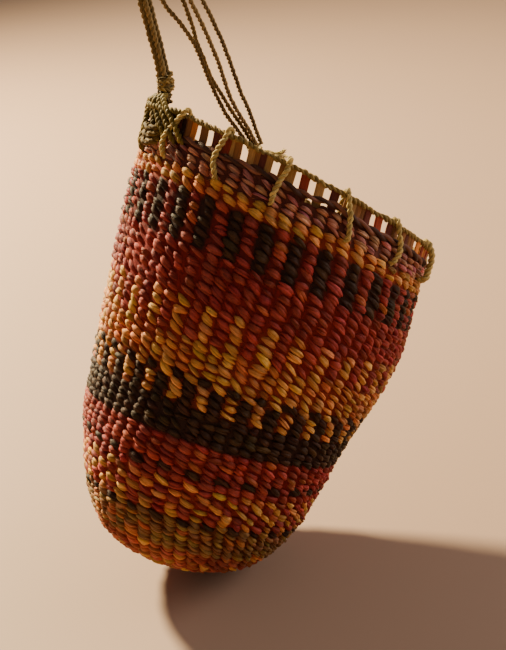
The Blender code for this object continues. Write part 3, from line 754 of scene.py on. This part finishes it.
def twisted(path, radius, pitch, tint, closed=False, steps=8, sides_count=6, uneven=0.12, shades=(1.0, 1.0)):
    """Two strands laid round each other along a path."""
    turns = max(1, round(length_of(path) / pitch))
    count = turns * steps
    if closed:
        ring = even_line(np.vstack((path, path[:1])), count)[:-1]
    else:
        ring = even_line(path, count)
    sides, ups = frames_along(ring, closed)
    waves = TAU * np.arange(len(ring)) / count
    parts = []
    for number in range(2):
        phase = TAU * turns * np.arange(len(ring)) / count + math.pi * number
        thick = np.ones(len(ring))
        for wave in PLY_WAVES:
            thick += uneven * 0.5 * np.sin(waves * wave * (1 + turns // 12) + RNG.uniform(0, TAU))
        swing = radius * PLY_SWING * thick
        centre = ring + sides * (swing * np.cos(phase))[:, None] + ups * (swing * np.sin(phase))[:, None]
        shade = np.array(tint) * RNG.uniform(*PLY_SHADES) * shades[number]
        streak = 1 + PLY_STREAK * np.sin(waves * (5 + turns // 9) + RNG.uniform(0, TAU))
        shade = shade[None, :] * streak[:, None]
        offset = RNG.uniform(0, STRING_OFFSET)
        parts.append(strand(centre, radius * PLY_RADIUS * thick, sides_count, shade, closed, offset))
    return join(parts)


# Camera


def put(name, data, right, up, back, where):
    """Places a camera or light that looks away from back."""
    thing = linked(name, data)
    turned = np.eye(4)
    for k, column in enumerate((right, up, back, where)):
        turned[:3, k] = column
    thing.matrix_world = Matrix(turned.tolist())
    return thing


def make_camera():
    right = np.array(CAMERA_RIGHT)
    up = np.array(CAMERA_UP)
    data = bpy.data.cameras.new("camera")
    data.sensor_fit = "VERTICAL"
    data.sensor_height = SENSOR_HEIGHT
    data.lens = CAMERA_LENS
    data.clip_start = 0.01
    camera = put("camera", data, unit(right), unit(up), unit(np.cross(right, up)), CAMERA_PLACE)
    bpy.context.scene.camera = camera


# Handle strings


def string_route(number):
    """The route of one string, from the top of the left binding over the hook to the far one."""
    across = 2 * number - 3
    pair = 1 if number > 1 else -1
    stagger = 1 if number % 2 else -1
    points = []
    for x, y, z, pair_off, string_off, lean in LEFT_LEG:
        off = HOOK_SIDE * (pair * pair_off + stagger * string_off)
        points.append(np.array((x, y, z)) + off + HOOK_WAY * stagger * lean)
    for turn in HOOK_TURNS:
        angle = math.radians(turn)
        lift = np.array((0.0, 0.0, STRING_RADIUS - HOOK_BEND + math.sin(angle) * HOOK_BEND))
        points.append(HOOK_WAY * math.cos(angle) * HOOK_BEND + lift + HOOK_SIDE * across * HOOK_PITCH / 2)
    for y, z, *places, lean in np.array(RIGHT_LEG) / TENTHS:
        points.append(np.array((places[number], y, z)) + RIGHT_STAGGER_WAY * stagger * lean)
    return np.array(points)


def make_strings():
    for number in range(4):
        fine = smooth_line(string_route(number), count=600)
        tint = np.array(HANDLE_TINT) * HANDLE_SHADES[number]
        part = twisted(fine, STRING_RADIUS * HANDLE_PLUMP, pitch=0.0056, tint=tint, steps=9)
        piece = new_piece("twine_%d" % (number + 1), part, HANDLE_FINISH, "handle_string_%d" % (number + 1))


# Stitches


def column_ends():
    """How far down each column runs."""
    ends = np.full(COLUMNS, REACH_END + COLUMN_FADE)
    lost = set()
    for end, first in ENDING_PAIRS:
        ends[first:first + 2] = end
        lost.update((first, first + 1))
    left = [c for c in range(COLUMNS) if c not in lost]
    # Ranks spread evenly round the bag: the place in the list, with its binary digits in reverse.
    order = sorted(range(len(left)), key=lambda k: int(format(k, "06b")[::-1], 2))
    reach = np.linspace(BASE_START, REACH_END, OUTLINE_STEPS)
    room = TAU * np.interp(reach, FINE_REACH, FINE[:, 1]) / BASE_WIDTH
    for rank, k in enumerate(order):
        fits = reach[room >= rank + 1]
        if rank >= BASE_COLUMNS:
            ends[left[k]] = fits[-1] + COLUMN_FADE / 2 if len(fits) else BASE_START
    return ends


COLUMN_ENDS = column_ends()
COLUMN_SHARE = 1 + COLUMN_UNEVEN * RNG.uniform(-1, 1, COLUMNS)
COLUMN_SHARE = COLUMN_SHARE + np.tile((PAIR_UNEVEN, -PAIR_UNEVEN), COLUMNS // 2)


def columns_at(reach):
    """Middle and width, in radians, of each column at this distance; the width is 0 where it has ended."""
    share = np.clip((COLUMN_ENDS - reach) / COLUMN_FADE, 0.0, 1.0)
    share = np.where(share < 0.5, 0.0, share) * COLUMN_SHARE
    width = TAU * share / share.sum()
    middle = np.cumsum(width) - width / 2
    return middle + FRONT_ANGLE - middle[0], width


def all_rows():
    """Every row of the weave: where it lies, its pitch, and its two dyes."""
    rows = []
    start = BAND_START
    for end, count, even, odd in BANDS:
        pitch = (end - start) / count
        for k in range(count):
            middle = start + pitch * (k + 0.5)
            if middle < REACH_END - LAST_ROW * pitch:
                rows.append((middle, pitch, even, odd))
        start = end
    return rows


def on_left_ochre(reach, angle):
    start, end, middle, half = LEFT_OCHRE
    away = abs((math.degrees(angle) - middle + 180) % 360 - 180) / half
    return start + (end - start) * away < reach < end


def stitch_table(rows, swapped):
    """One line for each stitch: distance down, angle, width, pitch, dye; swapped is the inner side."""
    table = []
    dyes = []
    for reach, pitch, even, odd in rows:
        middle, width = columns_at(reach)
        for column in np.nonzero(width > 0)[0]:
            dye = even if (column % 2 == 0) != swapped else odd
            chance = RNG.random()
            if on_left_ochre(reach, middle[column]):
                dye = "ochre"
            often, other = STRAYS.get(dye, (0.0, dye))
            table.append((reach, middle[column], width[column], pitch))
            dyes.append(other if chance < often else dye)
    return np.array(table), dyes


def drift(angle, reach, shift):
    """A slow wave over the bag, between -1 and 1 or so."""
    total = 0.0
    for around, down, phase in DRIFTS:
        total = total + np.sin(around * angle + down * TAU * reach / LENGTH + phase * (1 + shift))
    return total / 2


def top_gap(angle):
    """How far the top rows lie below their place."""
    return sum(
        deep * bump(angle, math.radians(middle), math.radians(spread)) for middle, spread, deep in GAPS)


def stitches(rows, inner=False):
    """Stitches for the given rows over each warp, each of two leaf-shaped plies outside, as one part."""
    table, dyes = stitch_table(rows, inner)
    plies = 1 if inner else 2
    along, across = INNER_POINTS if inner else OUTER_POINTS
    own = RNG.normal(0, 1, (8, len(table) * plies))
    shared = np.repeat(RNG.normal(0, 1, (8, len(table))), plies, axis=1)
    jitter = (SHARED_UNEVEN * shared + PLY_UNEVEN * own)[:, :, None, None]
    long_by, steep_by, full_by, thick_by, deep_by, high_by, down_by, out_by = (
        size * one for size, one in zip(UNEVEN, jitter))
    table = np.repeat(table, plies, axis=0)
    count = len(table)
    reach, angle, wide, pitch = table.T
    lowered = top_gap(angle) * np.clip(GAP_FULL - reach / GAP_FADE, 0, 1)
    reach = reach + lowered + ROW_DRIFT * drift(angle, reach, 0)
    angle = angle + COLUMN_DRIFT * drift(angle, reach, 1)
    radius = np.maximum(np.interp(reach, FINE_REACH, FINE[:, 1]), STITCH_LEAST_RADIUS)
    reach, angle, wide, pitch, radius = (a[:, None, None] for a in (reach, angle, wide, pitch, radius))
    t = (0.5 - 0.5 * np.cos(np.linspace(0, math.pi, along)))[None, :, None]
    around = np.linspace(-1, 1, across)[None, None, :] * STITCH_ROUND
    ways = np.array(HAND).T
    degrees = np.degrees(angle)
    steeper, height, side, longer = (np.interp(degrees, ways[0], row, period=360) for row in ways[1:])
    downs = np.array(DOWN).T
    slope, taller, further = (np.interp(reach, downs[0], row) for row in downs[1:])

    length = wide * STITCH_REACH * longer * further * (1 + long_by)
    slope = slope * steeper + steep_by
    plump = pitch * height * taller * (1 + high_by)
    hump = np.sin(math.pi * t ** (HUMP_SIDE * side)) ** HUMP_POWER
    fullest = np.clip(side + full_by, *SWELL_SIDES)
    swell = SWELL_LEAST + (1 - SWELL_LEAST) * np.sin(math.pi * t ** fullest) ** SWELL_POWER
    thick = STITCH_THICK * (THIN_END + (1 - THIN_END) * swell) * (1 + thick_by)
    relief = STITCH_RISE * np.interp(reach, *BASE_RELIEF)
    level = -relief * (1 - hump) * (1 + deep_by) - STITCH_THICK + out_by
    ply_off = 0.0
    if inner:
        level = np.maximum(level * INNER_RELIEF, -INNER_DEEPEST)
        thick = thick * INNER_RELIEF
    else:
        level = np.maximum(level, -STITCH_DEEPEST)
        thick = thick * PLY_THICK
        ply_off = np.tile((-1.0, 1.0), count // 2)[:, None, None] * PLY_APART * plump
        plump = plump * PLY_PLUMP

    crease = STITCH_CREASE * RNG.normal(0, 1, (count, 1, across)) * swell
    ragged = STITCH_RAGGED * RNG.normal(0, 1, (count, along, across))
    rounded = np.sign(np.cos(around)) * np.abs(np.cos(around)) ** SECTION_POWER
    out = level + thick * rounded + crease
    if inner:
        out = -WALL - out - INNER_CLEAR
    down = (t - 0.5) * slope * length * radius - STITCH_ARCH * pitch * np.sin(math.pi * t)
    down = reach + down + ply_off + (down_by + ragged) * pitch + plump * swell * np.sin(around)
    turned = angle + (t - 0.5) * length + TURN_UNEVEN * wide * jitter[3]
    shape = np.broadcast_shapes(out.shape, down.shape, turned.shape)
    places = on_wall(*(np.broadcast_to(a, shape) for a in (down, turned, out))).reshape(-1, 3)

    base = np.repeat([DYES[dye][0] for dye in dyes], plies, axis=0)
    stitch_shade = np.repeat(np.exp(RNG.normal(0, STITCH_SHADE, len(dyes))), plies)
    value = (stitch_shade * np.exp(RNG.normal(0, PLY_SHADE, count)))[:, None]
    warm = np.repeat(1 + RNG.normal(0, 1, (len(dyes), 3)) * HUE_UNEVEN, plies, axis=0)
    streak = np.exp(RNG.normal(0, STREAK_SHADE, (count, 1, across, 1)))
    # Toward its ends the stitch is painted darker and redder: painted shade and red bounce light where it
    # dives between its neighbours, with some darker dye.
    ends = 1 - (1 - hump)[..., None] * END_PAINTED_SHADE_AND_DYE
    # Painted highlight on the raised end of each stitch and painted shade on its other end, with some wear.
    lit_and_worn = (1 + END_LIGHT_AND_WEAR * (1 - side) * (0.5 - t))[..., None]
    tint = (base * value * warm)[:, None, None, :] * ends * lit_and_worn * streak
    tint = np.broadcast_to(tint, shape + (3,)).reshape(-1, 3)
    fibre = np.zeros(shape + (3,))
    fibre[..., 0] = t * length * radius / MM
    fibre[..., 1] = around * plump / MM
    fibre[..., 2] = RNG.uniform(0, TEXTURE_OFFSET, count)[:, None, None]
    faces = grid_faces(count, along, across)
    if not inner:
        faces = faces[:, ::-1]
    return places, faces, np.clip(tint, 0, 1), fibre.reshape(-1, 3)


def make_weave():
    rows = all_rows()
    start = -1.0
    for name, end in WEAVE_PIECES:
        chosen = [row for row in rows if start <= row[0] < end]
        new_piece(name, stitches(chosen), STITCH_FINISH, "bag_weave")
        start = end
    half = len(rows) // 2
    for name, chosen in (("lining_upper", rows[:half]), ("lining_lower", rows[half:])):
        new_piece(name, stitches(chosen, inner=True), STITCH_FINISH, "bag_weave")


def make_top_strand():
    """Two strands of dark fibre laid round each other along the top of the weave."""
    angle = np.linspace(-math.pi, math.pi, RIM_STEPS, endpoint=False)
    reach = STRAND_REACH + STRAND_DRIFT * drift(angle, 0.0 * angle, 0)
    reach = reach - STRAND_RISE * bump(angle, STRAND_RISE_ANGLE, STRAND_RISE_SPREAD)
    part = twisted(on_wall(reach, angle, STRAND_OUT + 0 * angle), STRAND_RADIUS, STRAND_PITCH, STRAND_TINT,
                   closed=True, steps=22, sides_count=8, uneven=0.16, shades=STRAND_SHADES)
    new_piece("top_strand", part, STITCH_FINISH, "bag_weave")


def make_warps():
    """The warps that the stitches lie over, seen only down between the stitches."""
    rows = all_rows()
    parts = []
    for sheet, flip in ((WARP_OUTER, True), (WARP_INNER, False)):
        offsets, outs = zip(*sheet)
        across = COLUMNS * len(sheet)
        places = []
        tints = []
        for share in np.linspace(0, 1, WARP_ROWS):
            middle, width = columns_at(REACH_END * share)
            angle = (middle[:, None] + width[:, None] * offsets).ravel()
            start = WARP_START + WARP_LOWERED * np.maximum(top_gap(angle), 0)
            reach = start + (REACH_END - start) * share
            out = np.where(np.repeat(width == 0, len(sheet)), outs[0], np.tile(outs, COLUMNS))
            places.append(on_wall(reach, angle + COLUMN_DRIFT * drift(angle, reach, 1), out))
            _, _, even, odd = min(rows, key=lambda row: abs(row[0] - REACH_END * share))
            pair = np.array((DYES[even][1], DYES[odd][1]))
            pair = pair + WARP_DARKER * (pair.min(axis=0) - pair)
            # On the side facing the key light the warps are painted darker: painted shade down between the
            # stitches.
            painted_shade = 1 - WARP_PAINTED_SHADE * np.clip(WARP_PAINTED_SHADE_EDGE * np.cos(angle - WARP_PAINTED_SHADE_MIDDLE), 0, 1)
            tints.append(np.repeat(np.tile(pair, (COLUMNS // 2, 1)), len(sheet), axis=0) * painted_shade[:, None])
        downs = np.repeat(np.linspace(0, REACH_END / MM, WARP_ROWS), across)
        fibre = np.stack((downs, np.tile(np.arange(across), WARP_ROWS), np.zeros(len(downs))), axis=-1)
        faces = grid_faces(1, WARP_ROWS, across, True)
        if flip:
            faces = faces[:, ::-1]
        parts.append((np.concatenate(places), faces, np.concatenate(tints), fibre))
    new_piece("warps", join(parts), STITCH_FINISH, "bag_weave")


# Rim


def windows():
    """First and last angle of each window between the strips, in degrees."""
    found = []
    step = 360 / POINTS_ROUND
    segment = STRIP_START - 1
    while segment < STRIP_START + STRIP_SPAN:
        start = RIB_TURN + segment * step
        segment += STRIP_RUNS[len(found) % len(STRIP_RUNS)] + 1
        found.append((start, start + step))
    return found


def strip_dye(degrees):
    signed = (degrees + 180) % 360 - 180
    away, dye = min((abs(at - signed), dye) for dye, places in NEAR_STRIPS.items() for at in places)
    return dye if away < NEAR_STRIP else RNG.choice(OTHER_STRIPS)


def flat_strip(left, right, dye):
    """One flat strip standing on the weave, from behind the top row to over the rim cord's inner side."""
    lean = RNG.uniform(-STRIP_LEAN, STRIP_LEAN)
    deep = RNG.uniform(0.0, STRIP_DEEP)
    lowered = max(0.0, float(top_gap(math.radians((left + right) / 2))))
    heights = np.linspace(STRIP_FOOT + STRIP_LOWERED * lowered, -STRIP_HEIGHT - STRIP_OVER, STRIP_ROWS)
    tuck, tuck_from, tuck_over = STRIP_TUCK
    places = []
    for k, depth in enumerate(heights):
        for across, back in STRIP_SECTION:
            angle = math.radians(left + (right - left) * across + lean * k / STRIP_ROWS)
            bow = STRIP_BOW * math.sin(math.pi * k / (STRIP_ROWS - 1))
            out = -STRIP_BACK - deep - STRIP_BACK * back - bow
            out -= tuck * min(max(depth - tuck_from, 0.0), tuck_over) / MM
            places.append((depth, RIM_RADIUS + out, angle))
    depths, radii, angles = np.array(places).T
    count = len(STRIP_SECTION)
    faces = grid_faces(1, STRIP_ROWS, count, True)[:, ::-1].tolist()
    faces.append(list(range(count)))
    faces.append([(STRIP_ROWS - 1) * count + k for k in range(count)][::-1])
    # Below the top strand the strip's foot is painted darker: painted shade.
    dark_from, dark = STRIP_FOOT_PAINTED_SHADE
    shade = np.where(depths > dark_from, dark, 1.0)[:, None]
    tint = np.array(STRIP_TINTS[dye]) * math.exp(RNG.normal(0, STRIP_SHADE)) * shade
    offset = np.full(len(depths), RNG.uniform(0, TEXTURE_OFFSET))
    fibre = np.stack((depths / MM, angles * (RIM_RADIUS / MM), offset), axis=-1)
    return place(depths, radii, angles), faces, tint, fibre


def make_strips():
    gaps = windows()
    parts = []
    for (_, start), (end, _) in zip(gaps, gaps[1:] + [(gaps[0][0] + 360, 0)]):
        count = max(1, round((end - start) / STRIP_WIDTH))
        for k in range(count):
            left = start + (end - start) * k / count
            right = start + (end - start) * (k + 1) / count
            dye = strip_dye((left + right) / 2)
            parts.append(flat_strip(left - STRIP_OVERLAP, right + STRIP_OVERLAP, dye))
    new_piece("rim_strips", join(parts), STRIP_FINISH, "bag_weave")


def make_rim_cord():
    angle = np.arange(RIM_STEPS) * TAU / RIM_STEPS
    wobble = sum(height * np.sin(angle * around + phase) for height, around, phase in RIM_WOBBLE)
    path = place(RIM_CORD_DEPTH + RIM_RISE + wobble, RIM_RADIUS - RIM_CORD_SET_BACK + wobble[::-1], angle)
    part = twisted(path, RIM_CORD_RADIUS * RIM_PLUMP, SHORT_LAY, OLIVE, closed=True, uneven=0.3)
    new_piece("rim_twine", part, CORD_FINISH, "rim_cord")


def lashing_line(number, ways):
    """Over the rim cord from inside the weave and down over the top band."""
    rows = [(depth, out, ways[0]) for depth, out in LASHING_INSIDE]
    for turn in LASHING_TURNS:
        angle = math.radians(turn)
        depth = RIM_CORD_DEPTH - LASHING_BEND * math.sin(angle)
        rows.append((depth, LASHING_BEND * math.cos(angle) - RIM_CORD_SET_BACK, ways[0]))
    loose = LASHING_LOOSE.get(number, 0.0)
    for depth, out, degrees in zip(LASHING_DEPTHS, LASHING_OUT, ways[1:]):
        rows.append((depth, out + loose, degrees))
    rows.append((*LASHING_END, ways[-1]))
    return rim_line(rows, 0.0)


def make_lashings():
    for number, ways in enumerate(LASHINGS, 1):
        thick = LASHING_THICK + LOOSE_THICK * LASHING_LOOSE.get(number, 0.0)
        part = twisted(lashing_line(number, ways), thick, SHORT_LAY, PALE_OLIVE, steps=9)
        new_piece("lashing_twine_%02d" % number, part, CORD_FINISH, "lashing_%02d" % number)


# Bindings


def neck_line(degrees, top, lead):
    radius = RIM_RADIUS - RIM_CORD_SET_BACK
    angle = math.radians(degrees)
    foot = place(NECK_BASE_DEPTH, radius, angle)
    rise = place(NECK_BASE_DEPTH - NECK_RISE, radius, angle)
    return smooth_line((foot, rise, top - lead * NECK_LEAD, top), count=60)


def winding(line, radii, tint, row):
    """A string wound round a neck, with its turns pitch apart."""
    pitch, thick, shade, start, end, lean = row
    sides, ups = frames_along(line)
    turns = length_of(line) * (end - start) / pitch
    count = int(turns * WINDING_STEPS)
    where = np.linspace(start, end, count + 1)
    index = where * (len(line) - 1)
    phase = TAU * turns * np.linspace(0, 1, count + 1) + RNG.uniform(0, TAU)
    reach = np.interp(where, np.linspace(0, 1, len(radii)), radii) - thick * WINDING_SUNK
    along = np.gradient(line, axis=0)
    along /= np.linalg.norm(along, axis=1)[:, None]
    steps = np.arange(len(line))
    centre, side, up, way = (
        np.stack([np.interp(index, steps, vectors[:, k]) for k in range(3)], axis=1)
        for vectors in (line, sides, ups, along))
    swing, waves = WINDING_WOBBLE
    wobble = 1 + swing * np.sin(phase * waves + 1.0)
    path = centre + side * (reach * wobble * np.cos(phase))[:, None]
    path = path + up * (reach * wobble * np.sin(phase))[:, None]
    path = path + way * (lean * reach * np.cos(phase))[:, None]
    return twisted(path, thick, pitch=0.0045, tint=np.array(tint) * shade, steps=7)


def neck_core(line, radii, tint):
    radius = np.interp(np.linspace(0, 1, len(line)), np.linspace(0, 1, len(radii)), radii) * NECK_CORE
    return strand(line, radius, sides_count=14, tint=np.array(tint) * NECK_CORE_SHADE)


def make_left_binding():
    line = neck_line(LEFT_ANGLE, LEFT_TOP, LEFT_LEAD)
    parts = [neck_core(line, LEFT_NECK, OLIVE)]
    for row in LEFT_WINDINGS:
        parts.append(winding(line, LEFT_NECK, OLIVE, row))
    # The shades are partly painted shade: the strings in the middle of the spread are darker.
    for thick, shade, rows in LEFT_TURNS:
        path = rim_line(rows, LEFT_ANGLE, unit=TENTHS)
        parts.append(twisted(path, thick / TENTHS, pitch=0.0052, tint=LEFT_TURN_TINT * shade, steps=8))
    for depth in LEFT_WRAPS:
        rows = [(depth + sink / TENTHS, out / TENTHS, off) for sink, out, off in LEFT_WRAP]
        path = rim_line(rows, LEFT_ANGLE, count=60)
        parts.append(twisted(path, radius=0.0017, pitch=0.01, tint=LEFT_WRAP_TINT, steps=14, uneven=0.2))
    new_piece("left_binding_twine", join(parts), CORD_FINISH, "left_binding")


def make_far_binding():
    line = neck_line(FAR_ANGLE, FAR_TOP, FAR_LEAD)
    parts = [neck_core(line, FAR_NECK, PALE_OLIVE), winding(line, FAR_NECK, PALE_OLIVE, FAR_WINDING)]
    for way in (1, -1):
        rows = [(depth, out, way * degrees) for depth, out, degrees in FAR_LEG]
        path = rim_line(rows, FAR_ANGLE, unit=TENTHS)
        parts.append(twisted(path, radius=0.0011, pitch=0.0048, tint=PALE_OLIVE, steps=8))
    new_piece("far_binding_twine", join(parts + frayed_ends()), CORD_FINISH, "far_binding")


def frayed_ends():
    parts = []
    thick, tip = FIBRE_RADII
    curl_size, curl_waves = FIBRE_CURL
    for spread, points in FRAYED:
        middle = smooth_line(points, count=14)
        share = np.linspace(0, 1, len(middle))
        for _ in range(FIBRES):
            way = RNG.normal(0, 1, 3)
            start = RNG.normal(0, FIBRE_START, 3)
            curl = RNG.normal(0, curl_size, 3)
            length = RNG.uniform(*FIBRE_LENGTHS)
            line = middle + start * (1 - FIBRE_GATHER * share)[:, None]
            line = line + way * spread * 0.5 * (share ** FIBRE_SPREAD_POWER)[:, None]
            line = line + curl * np.sin(share * curl_waves)[:, None]
            line = even_line(line[:max(5, round(len(line) * length))], count=12)
            thin = thick * np.linspace(1.0, tip, len(line))
            tint = np.array(FRAYED_TINT) * RNG.uniform(*FIBRE_SHADES)
            parts.append(strand(line, thin, sides_count=4, tint=tint, offset=RNG.uniform(0, STRING_OFFSET)))
    return parts


# Floor and light


def floor_paint(nodes, links, shader):
    coordinates = add_node(nodes, "TexCoord")
    noise = add_node(nodes, "TexNoise", {"Scale": 3.0})
    links.new(coordinates.outputs["Object"], noise.inputs["Vector"])
    colours = add_node(nodes, "ValToRGB")
    for element, colour in zip(colours.color_ramp.elements, FLOOR_COLOURS):
        element.color = colour
    links.new(noise.outputs["Fac"], colours.inputs["Fac"])
    links.new(colours.outputs["Color"], shader.inputs["Base Color"])
    shader.inputs["Roughness"].default_value = 0.7


def make_floor():
    level = FRAME_BOX[0][2] - FLOOR_CLEAR
    corners = [(x * FLOOR_HALF, y * FLOOR_HALF, level) for x, y in ((-1, -1), (1, -1), (1, 1), (-1, 1))]
    mesh = bpy.data.meshes.new("floor")
    mesh.from_pydata(corners, [], [(0, 1, 2, 3)])
    mesh.materials.append(material("floor", "", floor_paint))
    floor = linked("floor", mesh)


def make_light():
    for name, where, size, watts, colour in LIGHTS:
        data = bpy.data.lights.new(name, "AREA")
        data.shape = "DISK"
        data.size = size
        data.energy = watts
        data.color = colour
        back = unit(np.array(where, float) - np.array(LIGHT_TARGET, float))
        right = unit(np.cross((0, 0, 1.0), back))
        put(name, data, right, np.cross(back, right), back, where)
    world = bpy.data.worlds.new("studio")
    world.use_nodes = True
    background = world.node_tree.nodes["Background"]
    background.inputs["Color"].default_value = (1.0, 0.82, 0.7, 1.0)
    background.inputs["Strength"].default_value = 0.3
    bpy.context.scene.world = world


make_camera()
make_strings()
make_weave()
make_top_strand()
make_warps()
make_strips()
make_rim_cord()
make_lashings()
make_left_binding()
make_far_binding()
make_floor()
make_light()
